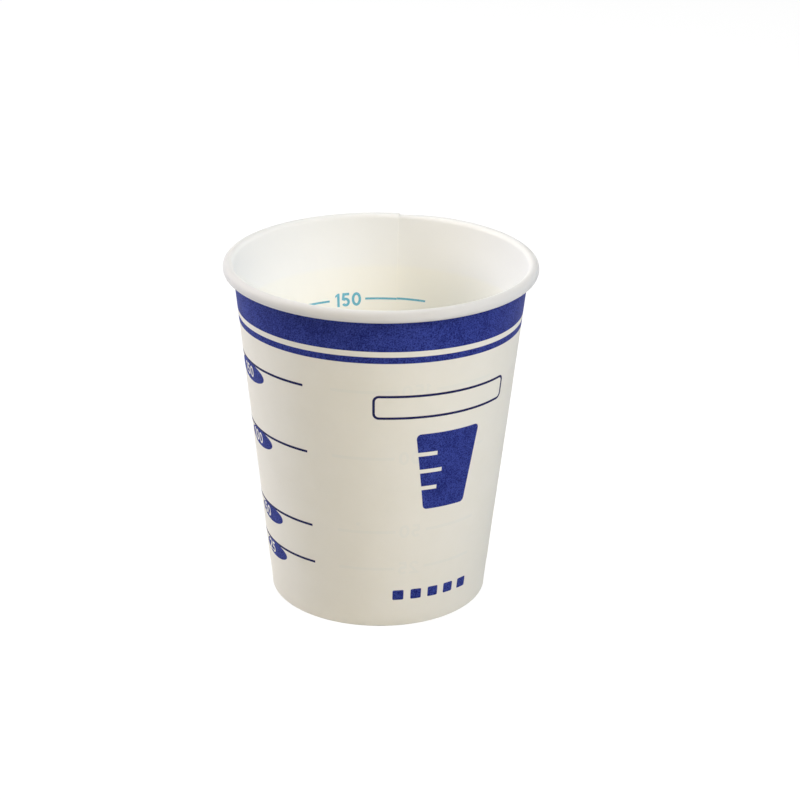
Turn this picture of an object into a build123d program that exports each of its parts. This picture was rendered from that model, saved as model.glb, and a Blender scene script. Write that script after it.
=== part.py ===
"""A paper measuring cup, as used for medicine: two glued pieces of coated paper.

The sidewall is one flat blank wound into a cone. Its two straight edges lap and are
bonded, its top is rolled outwards into a rim, and its foot is folded in and up. The
bottom is a round blank with its margin turned down as a skirt, and that skirt is
clamped in the fold of the sidewall.

Millimetres, +Z up. The origin is the centre of the foot, on the surface it stands on.
The seam is at the back, +Y.
"""
import os
from math import asin, atan2, cos, degrees, hypot, radians, sin

from build123d import *

# Overall size
cup_height = 82.0
mouth_diameter = 73.0
base_diameter = 51.4

# The paper
wall_paper = 0.30
bottom_paper = 0.30

# Rolled rim: its outer radius, the straight drop down its side, the space left between
# its end and the seam's outer layer, and how many flats a full turn of it would have
roll_radius = 1.25
roll_drop = 0.30
roll_end_gap = 0.16
roll_flats = 12

# Side seam, in degrees about the axis: where the inner edge of the blank lies, how far
# the outer edge laps past it, and over what stretch the outer layer climbs onto it
seam_direction = 83.0
lap_angle = 12.0
climb_angle = 20.0
climb_steps = 4

# Foot: depth of the recess under the bottom, height of the turned-up flap, the glue
# line on each side of the clamped skirt, and the space between the skirt and the fold
recess_depth = 6.5
flap_height = 5.6
glue_gap = 0.05
skirt_foot_gap = 0.30

# Bottom: bend radius of its paper where the skirt turns down, to the paper's middle
skirt_bend = 0.60

# The slope of the wall: its outer face starts at the base diameter and runs up to meet
# the rolled rim, whose centre is one roll radius inside the mouth and below the top
roll_centre = Vector(mouth_diameter / 2 - roll_radius, cup_height - roll_radius)
base_corner = Vector(base_diameter / 2, 0)
rise = roll_centre - base_corner
slope = degrees(atan2(rise.X, rise.Y) - asin((roll_radius - wall_paper) / hypot(rise.X, rise.Y)))

# Unit vectors in the section: up along the wall, and square to it, away from the axis
up_wall = Vector(sin(radians(slope)), cos(radians(slope)))
off_wall = Vector(cos(radians(slope)), -sin(radians(slope)))


def on_wall(depth, height):
    """The point at this height on a line along the wall, this deep inside its outer face."""
    start = base_corner - off_wall * depth
    return start + up_wall * ((height - start.Y) / up_wall.Y)


def corners_round(centre, radius, headings):
    """The corners of a line that turns clockwise round a circle, touching it at each heading."""
    corners = []
    for before, after in zip(headings, headings[1:]):
        reach = radius / cos(radians(before - after) / 2)
        direction = radians((before + after) / 2 + 90)
        corners.append(centre + Vector(cos(direction), sin(direction)) * reach)
    return corners


def blank_face(layer, height):
    """One face of the sidewall's paper, from the turned-up flap to the end of the roll.

    The layer counts from the face that holds the drink: it is how far this face lies
    beyond it, which is outwards on the wall and into the roll and the fold. The height
    is that of the folded foot.
    """
    turn = 360 / roll_flats
    over = [90 - turn * step for step in range(1, roll_flats // 2 + 1)]
    under = [-90 - turn * step for step in range(roll_flats // 4 + 1)]
    roll_end = on_wall(-wall_paper, roll_centre.Y - roll_drop - roll_radius).X + roll_end_gap
    lower_centre = roll_centre - Vector(0, roll_drop)
    wall_depth = wall_paper - layer
    flap_depth = wall_paper + 2 * glue_gap + bottom_paper + layer
    return [
        on_wall(flap_depth, flap_height),
        on_wall(flap_depth, height),
        on_wall(wall_depth, height),
        *corners_round(roll_centre, roll_radius - layer, [90 - slope, *over]),
        *corners_round(lower_centre, roll_radius - layer, under),
        Vector(roll_end, lower_centre.Y - roll_radius + layer),
    ]


def blank_section(inner, outer, angle):
    """The section of the sidewall between two layers, at an angle past the inner edge."""
    with BuildSketch(Plane.XZ.rotated((0, 0, seam_direction + angle))) as section:
        with BuildLine():
            drink_face = blank_face(inner, outer - inner)
            back_face = blank_face(outer, 0)
            Polyline(*drink_face, *reversed(back_face), close=True)
        make_face()
    return section.sketch


with BuildPart() as sidewall:
    # One layer of paper, from the outer edge of the blank round to the climb
    single = blank_section(0, wall_paper, lap_angle)
    revolve(single, axis=Axis.Z, revolution_arc=360 - lap_angle - climb_angle)

    # Two bonded layers in the lap
    double = blank_section(0, 2 * wall_paper, 0)
    revolve(double, axis=Axis.Z, revolution_arc=lap_angle)

    # The layer climbs outwards by its own thickness, to lie over the blank's inner edge
    climb = []
    for step in range(climb_steps + 1):
        share = step / climb_steps
        lift = share * wall_paper
        climb.append(blank_section(lift, lift + wall_paper, (share - 1) * climb_angle))
    loft(climb, ruled=True)

with BuildPart() as bottom_disc:
    with BuildSketch(Plane.XZ):
        disc_level = recess_depth + bottom_paper / 2
        skirt_depth = wall_paper + glue_gap + bottom_paper / 2
        skirt_end = on_wall(skirt_depth, 2 * wall_paper + skirt_foot_gap)
        bend_centre = on_wall(skirt_depth + skirt_bend, disc_level - skirt_bend)
        bend = corners_round(bend_centre, skirt_bend, [0, -(90 + slope) / 2, -(90 + slope)])
        with BuildLine():
            Polyline((0, disc_level), *bend, skirt_end)
        trace(line_width=bottom_paper)
    revolve(axis=Axis.Z)

sidewall.part.label = "sidewall"
bottom_disc.part.label = "bottom_disc"

os.makedirs("parts", exist_ok=True)
export_step(sidewall.part, "parts/sidewall.step")
export_step(bottom_disc.part, "parts/bottom_disc.step")
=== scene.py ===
# %% [markdown]
# # A paper measuring cup
# A small tapered cup for measuring medicine. It is made of two pieces of coated paper: a
# sidewall, cut flat and wound into a cone, and a round bottom whose margin is turned down
# and clamped in the fold of the sidewall's foot. The lesson winds the sidewall from a flat
# blank, the way the real one is made, and winds the print in the same way.
#
# The imported model comes first. It is the frame that every piece has to fit.

# %% Load the frame
from math import asin, atan2, ceil, cos, degrees, floor, pi, radians, sin, tan

import bmesh
import bpy
from mathutils import Matrix, Vector


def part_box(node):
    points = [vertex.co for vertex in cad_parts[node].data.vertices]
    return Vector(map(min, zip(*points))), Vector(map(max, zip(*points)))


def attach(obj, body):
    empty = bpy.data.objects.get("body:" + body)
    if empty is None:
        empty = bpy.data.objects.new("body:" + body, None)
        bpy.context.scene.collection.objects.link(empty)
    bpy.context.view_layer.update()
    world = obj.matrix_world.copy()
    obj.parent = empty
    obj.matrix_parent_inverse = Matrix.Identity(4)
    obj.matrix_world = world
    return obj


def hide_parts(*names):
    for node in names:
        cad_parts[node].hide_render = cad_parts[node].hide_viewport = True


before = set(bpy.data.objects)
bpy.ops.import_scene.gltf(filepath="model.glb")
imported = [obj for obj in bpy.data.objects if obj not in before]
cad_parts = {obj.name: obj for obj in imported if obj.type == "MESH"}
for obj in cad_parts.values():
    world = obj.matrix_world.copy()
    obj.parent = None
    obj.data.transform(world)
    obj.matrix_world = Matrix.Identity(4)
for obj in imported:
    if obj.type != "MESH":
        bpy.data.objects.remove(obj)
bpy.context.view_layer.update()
print("packed pieces:", list(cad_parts))

# %% [markdown]
# ## Sizes
# The height and the mouth come from the frame. The rest are the sizes of the paper and of
# its folds. They are those of the solids, but here the folds also have a small radius. A
# place round the cup is called a turn: it is how many degrees the wound paper has come past
# its inner edge, which lies at `seam_direction`, counted anticlockwise from +X. The front of
# the cup, -Y, lies 270 degrees round from +X. A full turn of the blank is more than 360
# degrees, because its ends lap.

# %% Sizes of the cup and its paper
MM = 0.001
low_corner, high_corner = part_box("sidewall")
cup_height = high_corner.z
mouth_radius = (high_corner.x - low_corner.x) / 2
base_radius = 25.7 * MM

wall_paper = 0.30 * MM
bottom_paper = 0.30 * MM
glue_gap = 0.05 * MM

seam_direction = 83.0
front_turn = 270 - seam_direction
lap_angle = 12.0
full_turn = 360 + lap_angle
print(f"the cup is {cup_height / MM:.1f} mm high and {2 * mouth_radius / MM:.1f} mm across")

# %% [markdown]
# The rim is rolled outwards by three quarters of a turn and ends just off the wall. The
# foot is folded in and up, as a flap that clamps the skirt, which is the turned-down margin
# of the bottom.

# %% Sizes of the roll and the foot
roll_radius = 1.25 * MM
roll_drop = 0.30 * MM
roll_end_gap = 0.16 * MM

recess_depth = 6.5 * MM
flap_height = 5.6 * MM
fold_radius = 0.10 * MM
skirt_foot_gap = 0.30 * MM
skirt_bend = 0.60 * MM
print(f"the bottom lies {recess_depth / MM:.1f} mm above the foot")

# %% [markdown]
# ## From a flat blank to a cone
# A section of the cup is drawn with the radius as x and the height as y. The wall starts at
# the foot and runs up to touch the rolled rim, and that gives its slope. `on_wall` gives a
# point on a line along the wall, so layers, folds and print all use the same slope.

# %% The slope of the wall
roll_centre = Vector((mouth_radius - roll_radius, cup_height - roll_radius))
base_corner = Vector((base_radius, 0))
rise = roll_centre - base_corner
slope = degrees(atan2(rise.x, rise.y) - asin((roll_radius - wall_paper) / rise.length))
up_wall = Vector((sin(radians(slope)), cos(radians(slope))))
off_wall = Vector((cos(radians(slope)), -sin(radians(slope))))


def on_wall(depth, height):
    """The point at this height on a line along the wall, this deep inside its outer face."""
    start = base_corner - off_wall * depth
    return start + up_wall * ((height - start.y) / up_wall.y)


print(f"the wall leans out by {slope:.2f} degrees")

# %% [markdown]
# The roll and the folds are bends. `arc` gives the points round one, from the heading in
# which the line enters it to the heading in which it leaves. `smooth_step` is for what
# comes on gradually, because paper changes its course without a corner.

# %% Bends and gradual changes
def arc(centre, radius, first, last, steps):
    """Points of a bend, from one heading to another. It turns clockwise if last is less."""
    side = 90 if last < first else -90
    points = []
    for step in range(steps + 1):
        direction = radians(first + (last - first) * step / steps + side)
        points.append(centre + Vector((cos(direction), sin(direction))) * radius)
    return points


def smooth_step(share):
    """Goes from 0 to 1 with the share, easing in and out."""
    share = max(0.0, min(1.0, share))
    return share * share * (3 - 2 * share)


print("a quarter of the way, a gradual change has come", smooth_step(0.25))

# %% [markdown]
# The two ends of the blank lap. The paper starts on the inside of the seam, comes round,
# climbs outwards by its own thickness and ends on top of its own beginning. `lift_at` is
# how far it has climbed. In the folded foot the layers lie one above the other, so there
# the beginning stands higher, and `raise_at` is by how much.

# %% How the lap moves the paper
climb_angle = 20.0
settle_angle = 8.0
glue_film = 0.01 * MM


def lift_at(turn):
    """How far the paper has climbed outwards over its own beginning."""
    climbed = smooth_step((turn - 360 + climb_angle) / climb_angle)
    return (wall_paper + glue_film) * climbed


def raise_at(turn):
    """How much higher the blank's beginning stands in the folded foot."""
    return wall_paper * (1 - smooth_step((turn - lap_angle) / settle_angle))


print(f"the outer layer ends {lift_at(full_turn) / MM:.2f} mm further out")

# %% [markdown]
# Thin paper is never quite true, and light shows it. `ripple_at` is a small unevenness, the
# sum of a few waves that run round the wall and slant upwards. It fades out at the clamped
# foot and at the rolled rim. The heat-sealed foot is also pressed in a little below the
# edge of the bottom, which leaves a soft line round the cup.

# %% Ripples and the pressed foot
ripple_size = 0.06 * MM
ripple_waves = [
    # waves round the cup, slant upwards, start, weight
    (3, 5, 0, 1.0),
    (5, -9, 1, 0.7),
    (9, 14, 2, 0.5),
]
ripple_from_foot = 0.25
ripple_from_rim = 0.12
press_depth = 0.05 * MM
press_above_bottom = 0.4 * MM
press_blend = 0.9 * MM


def ripple_at(turn, height):
    """The unevenness of the wall, always inwards of the true cone."""
    around = radians(turn + seam_direction)
    up = height / cup_height
    wave, most = 0, 0
    for count, slant, start, weight in ripple_waves:
        wave += weight * sin(count * around + slant * up + start)
        most += weight
    hold = smooth_step(up / ripple_from_foot) * smooth_step((1 - up) / ripple_from_rim)
    past_press = (height - recess_depth - press_above_bottom) / press_blend + 0.5
    pressed = press_depth * (1 - smooth_step(past_press))
    return ripple_size * (wave / most - 1) / 2 * hold - pressed


print(f"ripple halfway up the front: {ripple_at(front_turn, cup_height / 2) / MM:.3f} mm")

# %% [markdown]
# `blank_line` draws one face of the blank in section: the flap that is turned up inside the
# foot, the two folds of the foot, the wall and the roll. `layer` is 0 on the face that
# holds the drink and the paper's thickness on the printed face.

# %% One face of the blank in section
fold_steps = 5
wall_rows = 44
roll_steps = 22
under_steps = 9


def blank_line(layer, turn):
    """Points of one face of the blank, at a turn past the inner edge of the seam."""
    outward = 90 - slope
    lift = lift_at(turn)
    foot_level = raise_at(turn) + wall_paper + fold_radius
    flap_depth = wall_paper + 2 * glue_gap + bottom_paper + lift
    inner_fold = on_wall(flap_depth - fold_radius, foot_level)
    outer_fold = on_wall(wall_paper - lift + fold_radius, foot_level)
    line = [on_wall(flap_depth + layer, flap_height)]
    line += arc(inner_fold, fold_radius + layer, outward - 180, 0, fold_steps)
    line += arc(outer_fold, fold_radius + layer, 0, outward, fold_steps)

    curl = roll_radius - layer - lift
    wall_foot = line[-1]
    wall_top = roll_centre - off_wall * curl
    for row in range(1, wall_rows):
        point = wall_foot.lerp(wall_top, row / wall_rows)
        line.append(point + off_wall * ripple_at(turn, point.y))

    low_centre = roll_centre - Vector((0, roll_drop))
    roll_end = on_wall(-wall_paper, low_centre.y - roll_radius).x + roll_end_gap
    line += arc(roll_centre, curl, outward, -90, roll_steps)
    line += arc(low_centre, curl, -90, -180, under_steps)
    line.append(Vector((roll_end, low_centre.y - curl)))
    return line


print("points across the blank:", len(blank_line(0, front_turn)))

# %% [markdown]
# ## The paper
# Every paper surface of the cup shows its pressed fibres: soft clouds of two close colours,
# and a relief that is too fine to model. Noise in the cup's own coordinates gives both at
# any distance. More than one material needs it, so it is a node group, `paper_fibre`, which
# puts out the clouds as a mask and the fibres as a height for a Bump node.

# %% The fibre effect
def add_node(tree, kind, inputs, **settings):
    """Adds a node. Each input, by name or number, gets a value or a link from a socket."""
    node = tree.nodes.new(kind)
    for setting, value in settings.items():
        setattr(node, setting, value)
    for name, value in inputs.items():
        if isinstance(value, bpy.types.NodeSocket):
            tree.links.new(value, node.inputs[name])
        else:
            node.inputs[name].default_value = value
    return node


def new_group(name, inputs, outputs):
    """A shader node group with named sockets, and its input and its output node."""
    group = bpy.data.node_groups.new(name, "ShaderNodeTree")
    for socket_name, kind in inputs.items():
        group.interface.new_socket(socket_name, in_out="INPUT", socket_type=kind)
    for socket_name in outputs:
        group.interface.new_socket(socket_name, in_out="OUTPUT", socket_type="NodeSocketFloat")
    return group, group.nodes.new("NodeGroupInput"), group.nodes.new("NodeGroupOutput")


def make_paper_fibre():
    sockets = {
        "Coordinates": "NodeSocketVector",
        "Fibre Scale": "NodeSocketFloat",
        "Cloud Scale": "NodeSocketFloat",
    }
    group, given, result = new_group("paper_fibre", sockets, ["Clouds", "Height"])
    place = given.outputs["Coordinates"]
    clouds = add_node(group, "ShaderNodeTexNoise", {
        "Vector": place, "Scale": given.outputs["Cloud Scale"], "Detail": 4.0, "Roughness": 0.6})
    fibres = add_node(group, "ShaderNodeTexNoise", {
        "Vector": place, "Scale": given.outputs["Fibre Scale"], "Detail": 3.0,
        "Roughness": 0.55, "Distortion": 0.6})
    group.links.new(clouds.outputs["Fac"], result.inputs["Clouds"])
    group.links.new(fibres.outputs["Fac"], result.inputs["Height"])
    return group


paper_fibre = make_paper_fibre()
print("node group:", paper_fibre.name)

# %% [markdown]
# The printed side of the paper is uncoated and matt, in a warm white. The cut edges show
# bare pulp, which is a little darker and rougher. Each material keeps its own Principled
# shader, and its plain values are set on the shader itself.

# %% Uncoated paper
fibre_scale = 900.0
cloud_scale = 120.0
cloud_spread = (0.3, 0.7)
matt_specular = 0.2
printed_roughness = 0.75
printed_relief = 0.012 * MM


def new_material(name, roughness, specular):
    """A material, its node tree, its Principled shader and the place on the cup."""
    material = bpy.data.materials.new(name)
    material.use_nodes = True
    tree = material.node_tree
    shader = tree.nodes["Principled BSDF"]
    shader.inputs["Roughness"].default_value = roughness
    shader.inputs["Specular IOR Level"].default_value = specular
    place = tree.nodes.new("ShaderNodeTexCoord").outputs["Object"]
    return material, tree, shader, place


def add_fibre(tree, shader, place, relief):
    """Places the fibre effect, with a relief this deep on the shader. Gives its clouds."""
    fibre = add_node(tree, "ShaderNodeGroup", {
        "Coordinates": place, "Fibre Scale": fibre_scale, "Cloud Scale": cloud_scale,
    }, node_tree=paper_fibre)
    bump = add_node(tree, "ShaderNodeBump", {
        "Strength": 1.0, "Distance": relief, "Height": fibre.outputs["Height"]})
    tree.links.new(bump.outputs["Normal"], shader.inputs["Normal"])
    return fibre.outputs["Clouds"]


def spread(tree, value, low, high, interpolation="LINEAR"):
    """A mask that goes from 0 to 1 while the value goes from low to high."""
    mask = add_node(tree, "ShaderNodeMapRange", {
        "Value": value, "From Min": low, "From Max": high}, interpolation_type=interpolation)
    return mask.outputs["Result"]


def mix_colours(tree, mask, first, second):
    """The first colour where the mask is 0, the second where it is 1."""
    mix = add_node(tree, "ShaderNodeMix", {0: mask, 6: first, 7: second}, data_type="RGBA")
    return mix.outputs[2]


def paper_material(name, light, dark, roughness=printed_roughness, relief=printed_relief):
    """Paper of two close colours in soft clouds, with a fine fibre relief."""
    material, tree, shader, place = new_material(name, roughness, matt_specular)
    clouds = add_fibre(tree, shader, place, relief)
    mask = spread(tree, clouds, *cloud_spread)
    colour = mix_colours(tree, mask, (*dark, 1), (*light, 1))
    tree.links.new(colour, shader.inputs["Base Color"])
    return material


printed_white = (0.80, 0.78, 0.715)
printed_cloud = (0.78, 0.76, 0.69)
printed_side = paper_material("printed_side", printed_white, printed_cloud)
pulp_light = (0.78, 0.76, 0.71)
pulp_dark = (0.72, 0.70, 0.64)
cut_edge = paper_material("cut_edge", pulp_light, pulp_dark, roughness=0.85, relief=0.02 * MM)
print("materials:", printed_side.name, cut_edge.name)

# %% [markdown]
# The drink side has a thin waterproof coating, so it is whiter and a little satin. Two
# things change it towards the top. Where the dark bands are printed on the other side, they
# show through the thin paper and make it look cooler. And the outside of the rolled rim is
# painted much darker, as painted shade that keeps the lit roll and its crest from coming out
# too bright. Painting each face would leave hard borders, so both are smooth masks made
# from the place on the cup: one from its height, one from its radius.

# %% The coated side
coated_wall = (0.93, 0.925, 0.88, 1)
coated_behind_print = (0.915, 0.917, 0.905, 1)
# painted shade: the outside of the rolled rim is painted much darker than the wall
roll_painted_shade = (0.70, 0.695, 0.69, 1)
coated_relief = 0.005 * MM
behind_print_from = 68.3 * MM
behind_print_full = 70.0 * MM
roll_shade_from = mouth_radius - 2.4 * MM
roll_shade_full = mouth_radius - 1.1 * MM


def make_coated_inside():
    material, tree, shader, place = new_material("coated_inside", roughness=0.5, specular=0.12)
    add_fibre(tree, shader, place, coated_relief)
    height = add_node(tree, "ShaderNodeSeparateXYZ", {"Vector": place}).outputs["Z"]
    behind = spread(tree, height, behind_print_from, behind_print_full, "SMOOTHSTEP")
    wall = mix_colours(tree, behind, coated_wall, coated_behind_print)

    level = add_node(tree, "ShaderNodeVectorMath", {0: place, 1: (1, 1, 0)}, operation="MULTIPLY")
    radius = add_node(tree, "ShaderNodeVectorMath", {0: level.outputs["Vector"]}, operation="LENGTH")
    # the painted shade on the roll, from its radius, full near the edge of the mouth
    shade_on_roll = spread(
        tree, radius.outputs["Value"], roll_shade_from, roll_shade_full, "SMOOTHSTEP")
    colour = mix_colours(tree, shade_on_roll, wall, roll_painted_shade)
    tree.links.new(colour, shader.inputs["Base Color"])
    return material


coated_inside = make_coated_inside()
print("material:", coated_inside.name)

# %% [markdown]
# ## The sidewall
# A sheet that is rolled, folded and lapped could be modelled by spinning its section, but
# then the lap is hard to get. Paper is flat first, so the blank starts as a flat grid with
# one column for each step round the cup and one row for each point of the section.
# Extruding the grid gives it a printed face, and its faces get one of three materials: the
# drink side, the printed side, and the cut edges all round.

# %% The flat blank
column_step = 1.5
drink_face, printed_face, cut_face = range(3)


def thicken(bm, direction):
    """Extrudes a flat shape in one direction, so that it has two faces and an edge."""
    raised = bmesh.ops.extrude_face_region(bm, geom=list(bm.faces))
    corners = [item for item in raised["geom"] if isinstance(item, bmesh.types.BMVert)]
    bmesh.ops.translate(bm, verts=corners, vec=direction)


def flat_blank(rows, columns):
    """The blank, one unit square and one thick, with its drink side at the bottom."""
    bm = bmesh.new()
    bmesh.ops.create_grid(bm, x_segments=rows, y_segments=columns, size=0.5)
    thicken(bm, (0, 0, 1))
    for face in bm.faces:
        half_layers = round(2 * face.calc_center_median().z)
        face.material_index = (drink_face, cut_face, printed_face)[half_layers]
    return bm


rows = len(blank_line(0, 0)) - 1
columns = round(full_turn / column_step)
blank = flat_blank(rows, columns)
print(f"the blank has {rows} by {columns} fields and {len(blank.faces)} faces")

# %% [markdown]
# Then every corner moves to its place on the wound cup, and the lap, the step in the rim
# and the fold of the foot all come out as on the real one. `finish_piece` turns a bmesh
# into an object: smooth, but for the edges where the paper is cut or creased.

# %% Wind the sidewall
paper_crease = 35


def around_axis(point, turn):
    """A point of a section, turned to its place round the cup."""
    direction = radians(seam_direction + turn)
    return Vector((point.x * cos(direction), point.x * sin(direction), point.y))


def wind_blank(bm):
    """Moves each corner of the flat blank to its place on the cup."""
    lines = []
    for column in range(columns + 1):
        turn = column * full_turn / columns
        lines.append((turn, blank_line(0, turn), blank_line(wall_paper, turn)))
    for corner in bm.verts:
        row = round((corner.co.x + 0.5) * rows)
        column = round((corner.co.y + 0.5) * columns)
        turn, drink_line, printed_line = lines[column]
        line = printed_line if corner.co.z > 0.5 else drink_line
        corner.co = around_axis(line[row], turn)
    bmesh.ops.recalc_face_normals(bm, faces=bm.faces)


def finish_piece(name, bm, materials, crease):
    """Makes an object of a bmesh, smooth but for its sharp edges, riding on the body."""
    for face in bm.faces:
        face.smooth = True
    for edge in bm.edges:
        edge.smooth = edge.calc_face_angle(pi) < radians(crease)
    mesh = bpy.data.meshes.new(name)
    bm.to_mesh(mesh)
    bm.free()
    for material in materials:
        mesh.materials.append(material)
    piece = bpy.data.objects.new(name, mesh)
    bpy.context.scene.collection.objects.link(piece)
    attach(piece, "root")
    print(f"{name}: {len(mesh.polygons)} faces")
    return piece


wind_blank(blank)
wall_materials = [coated_inside, printed_side, cut_edge]
sidewall = finish_piece("paper_sidewall", blank, wall_materials, paper_crease)
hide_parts("sidewall")

# %% [markdown]
# ## The bottom
# The bottom is a round blank with no seam, so here a spin is right. Its section is drawn
# once, as the outline of the paper with its bend, and a full turn with `use_merge` closes
# it. The rings keep the faces near the middle from becoming long slivers, and merging
# closes the pole in the middle.

# %% The bottom, spun from its section
spin_steps = 180
disc_rings = 6
bend_margin = 1.0 * MM
bend_steps = 8
merge_distance = 0.0005 * MM


def bottom_outline():
    """The outline of the bottom's paper in section, from the axis out and back."""
    skirt_depth = wall_paper + glue_gap
    skirt_foot = 2 * wall_paper + skirt_foot_gap
    inner_bend = skirt_bend - bottom_paper / 2
    centre = on_wall(skirt_depth + bottom_paper + inner_bend, recess_depth - inner_bend)
    down = -90 - slope
    rings = [ring * (centre.x - bend_margin) / disc_rings for ring in range(disc_rings + 1)]
    outline = [Vector((radius, recess_depth + bottom_paper)) for radius in rings]
    outline += arc(centre, inner_bend + bottom_paper, 0, down, bend_steps)
    outline.append(on_wall(skirt_depth, skirt_foot))
    outline.append(on_wall(skirt_depth + bottom_paper, skirt_foot))
    outline += reversed(arc(centre, inner_bend, 0, down, bend_steps))
    outline += [Vector((radius, recess_depth)) for radius in reversed(rings)]
    return outline


def make_bottom():
    bm = bmesh.new()
    corners = [bm.verts.new((point.x, 0, point.y)) for point in bottom_outline()]
    edges = [bm.edges.new(pair) for pair in zip(corners, corners[1:] + corners[:1])]
    bmesh.ops.spin(bm, geom=corners + edges, cent=(0, 0, 0), axis=(0, 0, 1),
                   angle=2 * pi, steps=spin_steps, use_merge=True)
    bmesh.ops.remove_doubles(bm, verts=bm.verts, dist=merge_distance)
    loose = [edge for edge in bm.edges if not edge.link_faces]
    bmesh.ops.delete(bm, geom=loose, context="EDGES")
    bmesh.ops.recalc_face_normals(bm, faces=bm.faces)
    return finish_piece("paper_bottom", bm, [coated_inside], paper_crease)


bottom = make_bottom()
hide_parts("bottom_disc")

# %% [markdown]
# ## The inks
# Ink sinks into uncoated paper unevenly, so broad fields show a fine grain and faint
# patches. The inks share that as a second node group, `ink_mottle`.

# %% The mottle of the ink
grain_scale = 3600.0
patch_scale = 260.0
patch_share = 0.25


def make_ink_mottle():
    sockets = {
        "Coordinates": "NodeSocketVector",
        "Grain Scale": "NodeSocketFloat",
        "Patch Scale": "NodeSocketFloat",
    }
    group, given, result = new_group("ink_mottle", sockets, ["Mottle"])
    place = given.outputs["Coordinates"]
    grain = add_node(group, "ShaderNodeTexNoise", {
        "Vector": place, "Scale": given.outputs["Grain Scale"], "Detail": 1.0, "Roughness": 0.5})
    patches = add_node(group, "ShaderNodeTexNoise", {
        "Vector": place, "Scale": given.outputs["Patch Scale"], "Detail": 3.0, "Roughness": 0.6})
    mottle = add_node(group, "ShaderNodeMix", {
        0: patch_share, 2: grain.outputs["Fac"], 3: patches.outputs["Fac"]}, data_type="FLOAT")
    group.links.new(mottle.outputs[0], result.inputs["Mottle"])
    return group


ink_mottle = make_ink_mottle()
print("node group:", ink_mottle.name)

# %% [markdown]
# The outer print is dark blue, and its thin lines come out darker than its broad fields, so
# they have an ink of their own. The inner scale is pale. The numbers in the dark tabs are
# paper left bare. The last tint is for the faint shadow of the inner scale, which the thin
# paper lets through: it is the paper's own colour, a little darker, most of all in the red.

# %% The inks and the bare paper
mottle_spread = (0.38, 0.62)
ink_roughness = 0.6
ink_specular = 0.1


def ink_material(name, light, dark):
    """Ink in two close tones, finely mottled."""
    material, tree, shader, place = new_material(name, ink_roughness, ink_specular)
    mottle = add_node(tree, "ShaderNodeGroup", {
        "Coordinates": place, "Grain Scale": grain_scale, "Patch Scale": patch_scale,
    }, node_tree=ink_mottle)
    mask = spread(tree, mottle.outputs["Mottle"], *mottle_spread)
    colour = mix_colours(tree, mask, (*dark, 1), (*light, 1))
    tree.links.new(colour, shader.inputs["Base Color"])
    return material


blue_ink = ink_material("blue_ink", (0.040, 0.062, 0.32), (0.004, 0.009, 0.12))
line_ink = ink_material("line_ink", (0.020, 0.024, 0.105), (0.005, 0.006, 0.050))
pale_ink = ink_material("pale_ink", (0.20, 0.52, 0.68), (0.12, 0.43, 0.58))
bare_paper = paper_material("bare_numerals", printed_white, printed_cloud, relief=0.01 * MM)
shadow_white = (0.775, 0.767, 0.711)
shadow_cloud = (0.756, 0.748, 0.686)
shadow_tint = paper_material("print_shadow", shadow_white, shadow_cloud)
print("materials:", [material.name for material in bpy.data.materials])

# %% [markdown]
# ## The print
# Ink is far thinner than paper, but drawn as a film with real edges it stays sharp at any
# distance. Each shape is drawn on the flat blank, in degrees of turn and millimetres of
# height. It gets its thickness, is cut into narrow strips so that it can bend, and is then
# laid on the wall by the same sums as the paper, so it follows the lap and the ripples.
#
# The outer print of the real cup does not run quite level. `print_drop` is how far it has
# slipped, most of all at the right.

# %% Lay flat print on the wall
ink_sunk = 0.010 * MM
ink_proud = 0.014 * MM
bare_proud = 0.030 * MM
strip_height = 2.0
cut_tolerance = 1e-5
drop_at_sides = 0.68
drop_to_right = 0.30


def print_drop(turn):
    """How far the outer print has slipped below its level, in millimetres."""
    across = sin(radians(turn - front_turn))
    return drop_at_sides * across * across + drop_to_right * across


def cut_strips(bm, across, spacing):
    """Cuts flat shapes at every whole multiple of the spacing in one direction."""
    places = [corner.co.dot(across) / spacing for corner in bm.verts]
    for cut in range(ceil(min(places)), floor(max(places)) + 1):
        everything = list(bm.verts) + list(bm.edges) + list(bm.faces)
        bmesh.ops.bisect_plane(bm, geom=everything, dist=cut_tolerance,
                               plane_co=across * spacing * cut, plane_no=across)


def lay_on_wall(bm, inside=False, proud=ink_proud, slipped=True):
    """Thickens flat shapes, cuts them into strips and lays them on one side of the wall."""
    thicken(bm, (1, 0, 0))
    cut_strips(bm, Vector((0, 1, 0)), column_step)
    cut_strips(bm, Vector((0, 0, 1)), strip_height)
    for corner in bm.verts:
        share, turn, height = corner.co
        above = share * (ink_sunk + proud) - ink_sunk
        layer = -above if inside else wall_paper + above
        height -= print_drop(turn) if slipped else 0
        point = on_wall(wall_paper - layer - lift_at(turn), height * MM)
        point += off_wall * ripple_at(turn, point.y)
        corner.co = around_axis(point, turn)
    bmesh.ops.recalc_face_normals(bm, faces=bm.faces)


print(f"a quarter turn right of the front the print is {print_drop(front_turn + 90):.2f} mm low")

# %% [markdown]
# The wide and the narrow band run all the way round, from where the paper comes out of the
# lap to its outer edge. The wide one runs on up behind the roll. A band could be a ring
# round the cone, but as a flat rectangle on the blank it gets the step at the seam too.

# %% The bands under the rim
wide_band = (71.7, 80.0)
narrow_band = (68.8, 70.35)
band_tuck = 0.1
film_crease = 60


def flat_face(bm, corners):
    """A flat shape on the blank, from its corners as turn and height."""
    return bm.faces.new([bm.verts.new((0, turn, height)) for turn, height in corners])


def flat_strip(bm, first, last, low, high):
    """A level strip on the blank, between two turns and two heights."""
    return flat_face(bm, [(first, low), (last, low), (last, high), (first, high)])


def finish_print(name, bm, inks):
    """Makes an object of a laid film of print."""
    finish_piece(name, bm, inks, film_crease)


def make_bands():
    bm = bmesh.new()
    for low, high in (wide_band, narrow_band):
        flat_strip(bm, lap_angle - band_tuck, full_turn, low, high)
    lay_on_wall(bm)
    finish_print("blue_bands", bm, [blue_ink])


make_bands()

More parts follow.
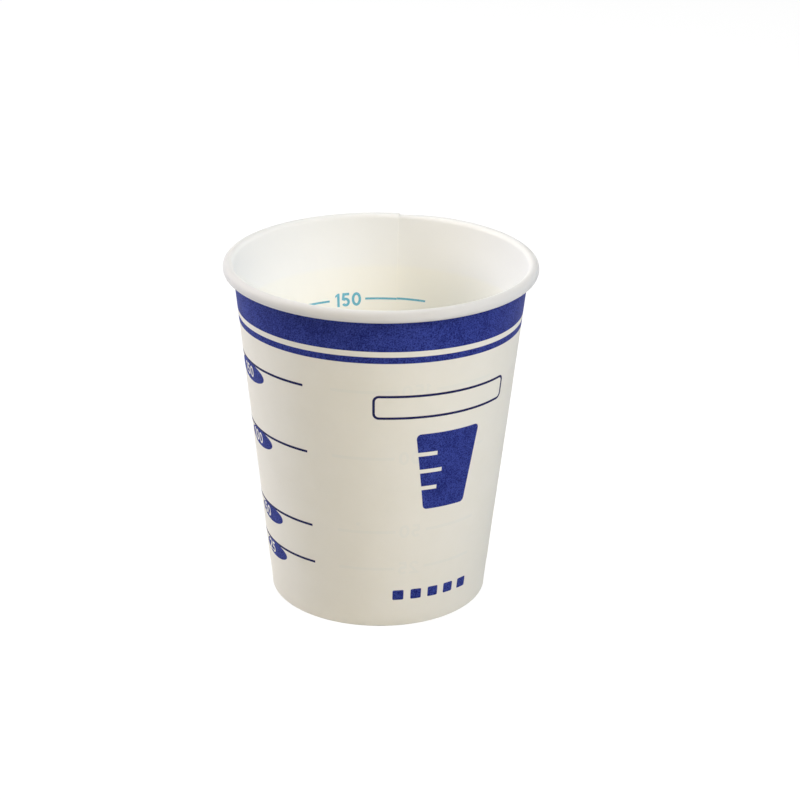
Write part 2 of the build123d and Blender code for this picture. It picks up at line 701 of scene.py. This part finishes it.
# %% [markdown]
# ## The numbers
# The numbers are drawn as strokes, the way a sign painter would: both edges of the stroke
# follow a path at half its width, and `bridge_loops` fills the ink between them. At a
# corner of the path the edges meet in a mitre.

# %% A stroke along a path
def mitre(path, index, closed):
    """The way from a point of a path to the edge of a ribbon that reaches one unit out."""
    ways = []
    if index > 0 or closed:
        ways.append((path[index] - path[index - 1]).normalized())
    if index < len(path) - 1 or closed:
        ways.append((path[(index + 1) % len(path)] - path[index]).normalized())
    along = sum(ways, Vector((0, 0))).normalized()
    return Vector((-along.y, along.x)) / along.dot(ways[0])


def stroke(bm, path, width, place, closed=False):
    """A ribbon of ink along a path: its two edges are drawn, and then bridged."""
    edges = []
    for side in (width / 2, -width / 2):
        corners = []
        for index, point in enumerate(path):
            turn, height = place(point + mitre(path, index, closed) * side)
            corners.append(bm.verts.new((0, turn, height)))
        ends = corners[1:] + corners[:1] if closed else corners[1:]
        edges += [bm.edges.new(pair) for pair in zip(corners, ends)]
    bmesh.ops.bridge_loops(bm, edges=edges)


square = [Vector((0, 0)), Vector((1, 0)), Vector((1, 1)), Vector((0, 1))]
print("way out at the corner of a square:", mitre(square, 0, True))

# %% [markdown]
# Only the digits that the scale needs are drawn, each in a box one unit high. The path
# keeps half a stroke away from the sides of the box, so thin and heavy digits are equally
# large. The 1 has a slanted flag that no stroke gives, so it is an outline.

# %% The digits
digit_space = 0.14
digit_widths = {"0": 0.70, "1": 0.33, "2": 0.66, "5": 0.64}


def ellipse_path(centre, size, first, last, steps):
    """Points on part of an ellipse, from one direction to another, in degrees."""
    path = []
    for step in range(steps + 1):
        direction = radians(first + (last - first) * step / steps)
        spoke = Vector((size[0] * cos(direction), size[1] * sin(direction)))
        path.append(Vector(centre) + spoke)
    return path


def digit_path(digit, half):
    """The middle line of a 0, 2 or 5, half a stroke away from the sides of its box."""
    if digit == "0":
        return ellipse_path((0.35, 0.5), (0.35 - half, 0.5 - half), 90, 440, 35)
    if digit == "2":
        bow = ellipse_path((0.33, 0.70), (0.33 - half, 0.30 - half), 170, -38, 16)
        return bow + [Vector((0.11, half)), Vector((0.66, half))]
    flag = [Vector((0.59, 1 - half)), Vector((0.17, 1 - half)), Vector((0.125, 0.56))]
    return flag + ellipse_path((0.32, 0.325), (0.32 - half, 0.325 - half), 118, -150, 22)


def outline_of_one(weight):
    """The outline of a 1: its stem, and a slanted flag to the left."""
    right, stem = digit_widths["1"], digit_widths["1"] - weight
    flag = [(right, 1), (0.19, 1), (0, 0.86), (0, 0.69), (stem, 0.80)]
    return [Vector(corner) for corner in [(stem, 0), (right, 0), *flag]]


def draw_digit(bm, digit, weight, place):
    if digit == "1":
        flat_face(bm, [place(corner) for corner in outline_of_one(weight)])
    else:
        stroke(bm, digit_path(digit, weight / 2), weight, place, closed=digit == "0")


def number_width(number):
    """How wide a number is, in heights of a digit."""
    return sum(digit_widths[digit] for digit in number) + digit_space * (len(number) - 1)


print(f"150 is {number_width('150'):.2f} times as wide as a digit is high")

# %% [markdown]
# A number is set digit by digit round a middle turn. Millimetres across the paper become
# degrees of turn, and how many depends on how wide the cup is at that height.

# %% Setting a number
def radius_at(height):
    """The wall's radius in millimetres at a height in millimetres."""
    return on_wall(0, height * MM).x / MM


def digit_place(start, size, middle, height, reading):
    """A function that gives the turn and height of a point of a digit's box."""
    def place(point):
        across = degrees((start + point.x) * size / radius_at(height))
        return middle + reading * across, height + (point.y - 0.5) * size
    return place


def draw_number(bm, number, size, weight, middle, height, reading=1):
    """A number centred on a turn and a height. It reads along the turns if reading is 1."""
    start = -number_width(number) / 2
    for digit in number:
        draw_digit(bm, digit, weight, digit_place(start, size, middle, height, reading))
        start += digit_widths[digit] + digit_space


print(f"the wall's radius at half height is {radius_at(cup_height / 2 / MM):.1f} mm")

# %% [markdown]
# ## The scale outside
# Each volume has a line round the front of the cup, and under the line hangs a tab, a solid
# ellipse that carries the number. The lines get the darker ink, as the second material.

# %% Lines and tabs
scale_heights = {"150": 61.35, "100": 44.55, "50": 25.32, "25": 15.47}
scale_line = 0.6
outer_line = (front_turn - 98.0, front_turn - 32.5)
tab_middle = {"150": -69.4, "100": -66.4, "50": -64.6, "25": -64.7}
tab_half_width = {"150": 7.55, "100": 6.08, "50": 5.72, "25": 5.72}
tab_half_height = {"150": 2.38, "100": 2.16, "50": 2.14, "25": 2.00}
ellipse_segments = 56


def line_between(bm, first, last, height, width):
    """A level line of print between two turns."""
    return flat_strip(bm, first, last, height - width / 2, height + width / 2)


def flat_ellipse(bm, turn, height, half_width, half_height):
    """A solid ellipse on the flat blank. Its half sizes are in millimetres."""
    ring = bmesh.ops.create_circle(bm, cap_ends=True, segments=ellipse_segments, radius=1)
    corners = ring["verts"]
    bmesh.ops.transform(bm, matrix=Matrix.Rotation(pi / 2, 4, "Y"), verts=corners)
    half_turn = degrees(half_width / radius_at(height))
    bmesh.ops.scale(bm, verts=corners, vec=(0, half_turn, half_height))
    bmesh.ops.translate(bm, verts=corners, vec=(0, turn, height))


def make_outer_scale():
    bm = bmesh.new()
    for number, height in scale_heights.items():
        line = line_between(bm, *outer_line, height, scale_line)
        line.material_index = 1
        half_height = tab_half_height[number]
        flat_ellipse(bm, front_turn + tab_middle[number], height - half_height,
                     tab_half_width[number], half_height)
    lay_on_wall(bm)
    finish_print("outer_scale", bm, [blue_ink, line_ink])


make_outer_scale()

# %% [markdown]
# The numbers are paper left bare in the ink. They could be holes cut in the tabs, but laid
# over the tabs as a second film they keep both outlines simple.

# %% Bare numbers on the tabs
outer_weight = 0.165
outer_number_size = 2.75
outer_number_middle = {"150": -70.2, "100": -69.2, "50": -69.2, "25": -69.1}


def make_outer_numbers():
    bm = bmesh.new()
    for number, height in scale_heights.items():
        middle = front_turn + outer_number_middle[number]
        tab_height = height - tab_half_height[number]
        draw_number(bm, number, outer_number_size, outer_weight, middle, tab_height)
    lay_on_wall(bm, proud=bare_proud)
    finish_print("outer_numbers", bm, [bare_paper])


make_outer_numbers()

# %% [markdown]
# ## The scale inside
# The drink side has its own scale in a paler ink: a number with a line on each side of it,
# just below the outer lines, printed twice on opposite sides of the cup. The one at the
# front sits a little higher than the one at the back. Seen from inside, the turns run to
# the left, so here the numbers read against them. A line that would start before the
# paper's inner edge goes on at the other end of the blank, where the drink side shows.

# %% The inner scale
inner_middles = (104.7 - seam_direction, 284.7 - seam_direction)
inner_raised = (0, 0.75)
inner_size = 3.4
inner_weight = 0.19
inner_drop = 0.45
inner_line = 0.5
inner_line_angle = 27.0
inner_gap_left = 2.7
inner_gap_right = 1.85


def draw_inner_scale(bm, line_width, paper_start=0):
    """Both inner scales, drawn flat, on the paper from the turn paper_start onwards."""
    for number, scale_height in scale_heights.items():
        for middle, raised in zip(inner_middles, inner_raised):
            height = scale_height - inner_drop + raised
            half_number = degrees(number_width(number) * inner_size / 2 / radius_at(height))
            draw_number(bm, number, inner_size, inner_weight, middle, height, reading=-1)
            left = middle + half_number + inner_gap_left
            line_between(bm, left, left + inner_line_angle, height, line_width)
            right = middle - half_number - inner_gap_right
            right_end = right - inner_line_angle
            if right_end < 0:
                line_between(bm, 360 + right_end, 360, height, line_width)
            line_between(bm, max(right_end, paper_start), right, height, line_width)


def make_inner_scale():
    bm = bmesh.new()
    draw_inner_scale(bm, inner_line)
    lay_on_wall(bm, inside=True, slipped=False)
    finish_print("inner_scale", bm, [pale_ink])


make_inner_scale()

# %% [markdown]
# The paper is thin enough for the inner print to show through it as a faint shadow, with
# lines a little wider because the fibres blur them. See-through paper would be slow to
# render for so little, so the inner print is drawn once more on the outside, almost in the
# paper's own colour. In the lap the paper is double and nothing shows. A small speck in the
# paper, to the left at the front, is drawn along with it.

# %% The shadow of the inner print
shadow_line = 0.75
shadow_proud = 0.006 * MM
speck_turn = front_turn - 9.5
speck_height = 27.7
speck_radius = 0.45


def make_print_shadow():
    bm = bmesh.new()
    draw_inner_scale(bm, shadow_line, paper_start=lap_angle)
    flat_ellipse(bm, speck_turn, speck_height, speck_radius, speck_radius)
    lay_on_wall(bm, proud=shadow_proud, slipped=False)
    finish_print("inner_scale_shadow", bm, [shadow_tint])


make_print_shadow()

# %% [markdown]
# ## The plain marks at the front
# Right of the scale the print has a field to write in, a solid picture of a measuring cup,
# and a row of the small patches that a printer checks the ink by. All of them are upright
# shapes with rounded corners, so one outline serves them: it is drawn in millimetres round
# its own middle, and `front_place` puts it on the blank.

# %% Rounded shapes at the front
corner_steps = 6
patch_half = 1.3
patch_corner = 0.3


def upright_corners(low_half, high_half, half_height):
    """The corners of an upright shape, anticlockwise, with its half widths low and high."""
    return [Vector((-low_half, -half_height)), Vector((low_half, -half_height)),
            Vector((high_half, half_height)), Vector((-high_half, half_height))]


def rounded_outline(corners, radius):
    """A convex outline whose corners, listed anticlockwise, are each rounded by an arc."""
    path = []
    for index, corner in enumerate(corners):
        into = (corner - corners[index - 1]).normalized()
        out = (corners[(index + 1) % len(corners)] - corner).normalized()
        bend = into.angle(out)
        start = corner - into * radius * tan(bend / 2)
        middle = start + Vector((-into.y, into.x)) * radius
        for step in range(corner_steps + 1):
            turned = Matrix.Rotation(bend * step / corner_steps, 2)
            path.append(middle + turned @ (start - middle))
    return path


def front_place(middle, height):
    """A function that gives the turn and height of a point round a middle at the front."""
    def place(point):
        across = degrees(point.x / radius_at(height))
        return front_turn + middle + across, height + point.y
    return place


patch_corners = upright_corners(patch_half, patch_half, patch_half)
patch_outline = rounded_outline(patch_corners, patch_corner)
print("points round a patch:", len(patch_outline))

# %% [markdown]
# The field is a stroke round its outline, in the darker ink of thin lines. The picture and
# the patches are solid.

# %% Field, picture and patches
field_middle = 28.75
field_height = 57.9
field_half_angle = 31.25
field_half_height = 2.7
field_corner = 1.2
picture_middle = 31.0
picture_height = 41.0
picture_half_height = 9.8
picture_low_half = 5.6
picture_high_half = 8.2
picture_corner = 1.1
patch_first = 10.0
patch_spacing = 9.25
patch_count = 5
patch_height = 8.6


def draw_field(bm):
    half_width = radians(field_half_angle) * radius_at(field_height)
    corners = upright_corners(half_width, half_width, field_half_height)
    outline = rounded_outline(corners, field_corner)
    stroke(bm, outline, scale_line, front_place(field_middle, field_height), closed=True)
    for face in bm.faces:
        face.material_index = 1


def make_front_marks():
    bm = bmesh.new()
    draw_field(bm)
    corners = upright_corners(picture_low_half, picture_high_half, picture_half_height)
    place = front_place(picture_middle, picture_height)
    flat_face(bm, [place(point) for point in rounded_outline(corners, picture_corner)])
    for patch in range(patch_count):
        place = front_place(patch_first + patch_spacing * patch, patch_height)
        flat_face(bm, [place(point) for point in patch_outline])
    lay_on_wall(bm)
    finish_print("front_marks", bm, [blue_ink, line_ink])


make_front_marks()

# %% [markdown]
# Three level marks are left bare in the picture, like the numbers in the tabs. Each starts
# just outside the picture's slanting left side, so that it cuts right through the edge.

# %% Level marks in the picture
level_places = [
    # height above the middle of the picture, length
    (-4.2, 4.0),
    (0.2, 5.6),
    (4.6, 4.8),
]
level_weight = 1.0
level_overhang = 0.2


def make_level_marks():
    bm = bmesh.new()
    place = front_place(picture_middle, picture_height)
    middle_half = (picture_low_half + picture_high_half) / 2
    lean = (picture_high_half - picture_low_half) / (2 * picture_half_height)
    for level, length in level_places:
        left = -middle_half - lean * level - level_overhang
        stroke(bm, [Vector((left, level)), Vector((left + length, level))], level_weight, place)
    lay_on_wall(bm, proud=bare_proud)
    finish_print("level_marks", bm, [bare_paper])


make_level_marks()

# %% [markdown]
# ## The studio
# The cup stands on a white floor that runs out past the edge of the picture. More light
# would bleach the pale paper before the floor came out white, so the floor glows, but only
# for rays from the camera, a mirror or glass. To the light it is a plain pale floor, and a
# little of its colour is left under the glow, so that it keeps the cup's shadow.

# %% Floor
floor_half_size = 6.0
floor_glow = 0.9
floor_pale = (0.75, 0.75, 0.74, 1)
floor_faint = (0.16, 0.16, 0.16, 1)


def seen_directly(tree):
    """A mask: 1 for rays from the camera, a mirror or glass, 0 for rays that carry light."""
    rays = tree.nodes.new("ShaderNodeLightPath").outputs
    seen = rays["Is Camera Ray"]
    for kind in ("Is Glossy Ray", "Is Transmission Ray"):
        either = add_node(tree, "ShaderNodeMath", {0: seen, 1: rays[kind]}, operation="MAXIMUM")
        seen = either.outputs[0]
    return seen


def make_white_floor():
    material = bpy.data.materials.new("white_floor")
    material.use_nodes = True
    tree = material.node_tree
    tree.nodes.remove(tree.nodes["Principled BSDF"])
    plain = add_node(tree, "ShaderNodeBsdfDiffuse", {"Color": floor_pale})
    faint = add_node(tree, "ShaderNodeBsdfDiffuse", {"Color": floor_faint})
    glow = add_node(tree, "ShaderNodeEmission", {"Color": (1, 1, 1, 1), "Strength": floor_glow})
    bright = add_node(tree, "ShaderNodeAddShader", {0: faint.outputs[0], 1: glow.outputs[0]})
    both = add_node(tree, "ShaderNodeMixShader", {
        0: seen_directly(tree), 1: plain.outputs[0], 2: bright.outputs[0]})
    tree.links.new(both.outputs[0], tree.nodes["Material Output"].inputs["Surface"])
    return material


def make_floor():
    bm = bmesh.new()
    bmesh.ops.create_grid(bm, x_segments=1, y_segments=1, size=floor_half_size)
    mesh = bpy.data.meshes.new("floor")
    bm.to_mesh(mesh)
    bm.free()
    mesh.materials.append(make_white_floor())
    floor = bpy.data.objects.new("floor", mesh)
    bpy.context.scene.collection.objects.link(floor)
    print("the floor is", 2 * floor_half_size, "m wide")


make_floor()

# %% [markdown]
# The world does the same: seen directly it is white, and as light it is a weak even glow
# that only softens the shadows.

# %% Room light
room_glow = 0.02


def make_world():
    world = bpy.data.worlds.new("white_room")
    bpy.context.scene.world = world
    world.use_nodes = True
    tree = world.node_tree
    level = add_node(tree, "ShaderNodeMapRange", {
        "Value": seen_directly(tree), "To Min": room_glow, "To Max": 1.0})
    background = tree.nodes["Background"]
    background.inputs["Color"].default_value = (1, 1, 1, 1)
    tree.links.new(level.outputs["Result"], background.inputs["Strength"])
    print("world:", world.name)


make_world()

# %% [markdown]
# Five large soft lamps stand round the cup, as in a white light tent. The left one is the
# strongest. A warm one stands to the right of the front and a cool one further round, which
# gives the wall its change of tone. The one above stands to the front, so it lights the
# inside of the far wall, and the one behind lights the crest of the rim.

# %% Lamps
lamp_distance = 0.9
lamp_size = 0.5
lamps = [
    # name, azimuth from the front towards +X, elevation, power, colour
    ("lamp_left", -106, 30, 6.4, (0.98, 0.953, 1.0)),
    ("lamp_front", 35, 34, 3.9, (1.0, 0.86, 0.68)),
    ("lamp_right", 65, 30, 2.6, (0.48, 0.68, 1.0)),
    ("lamp_above", 0, 60, 1.95, (1.0, 0.96, 0.76)),
    ("lamp_back", 170, 60, 2.4, (0.97, 1.0, 0.97)),
]


def add_lamp(name, azimuth, elevation, power, colour):
    """A square soft lamp that looks at the middle of the cup."""
    data = bpy.data.lights.new(name, "AREA")
    data.shape = "SQUARE"
    data.size = lamp_size
    data.energy = power
    data.color = colour
    lamp = bpy.data.objects.new(name, data)
    cup_middle = Vector((0, 0, cup_height / 2))
    away = lamp_distance * cos(radians(elevation))
    right, back = away * sin(radians(azimuth)), -away * cos(radians(azimuth))
    up = lamp_distance * sin(radians(elevation))
    lamp.location = cup_middle + Vector((right, back, up))
    lamp.rotation_euler = (cup_middle - lamp.location).to_track_quat("-Z", "Y").to_euler()
    bpy.context.scene.collection.objects.link(lamp)
    print(f"{name}: {power} W")


for lamp in lamps:
    add_lamp(*lamp)

# %% [markdown]
# ## The camera
# The camera stands about half a metre away and looks down by 23 degrees. The photograph was
# not quite level or centred, so the camera is turned about its own axes by three small
# angles. The colours are shown as they are, so the view transform is Standard.

# %% Camera
camera_distance = 528.3 * MM
camera_elevation = 23.01
camera_aim_height = 39.73 * MM
camera_turns = {"Y": -0.52, "X": 0.71, "Z": 0.52}
camera_sensor = 36.0
camera_lens = 99.84


def make_camera():
    data = bpy.data.cameras.new("camera")
    data.sensor_width = camera_sensor
    data.lens = camera_lens
    data.clip_start = 0.01
    data.clip_end = 30
    camera = bpy.data.objects.new("camera", data)
    bpy.context.scene.collection.objects.link(camera)
    down = radians(camera_elevation)
    back = -camera_distance * cos(down)
    up = camera_aim_height + camera_distance * sin(down)
    turned = Matrix.Rotation(pi / 2 - down, 4, "X")
    for axis, angle in camera_turns.items():
        turned = turned @ Matrix.Rotation(radians(angle), 4, axis)
    camera.matrix_world = Matrix.Translation((0, back, up)) @ turned
    bpy.context.scene.camera = camera
    print(f"the camera stands {up:.2f} m up and {-back:.2f} m in front")


make_camera()
bpy.context.scene.view_settings.view_transform = "Standard"
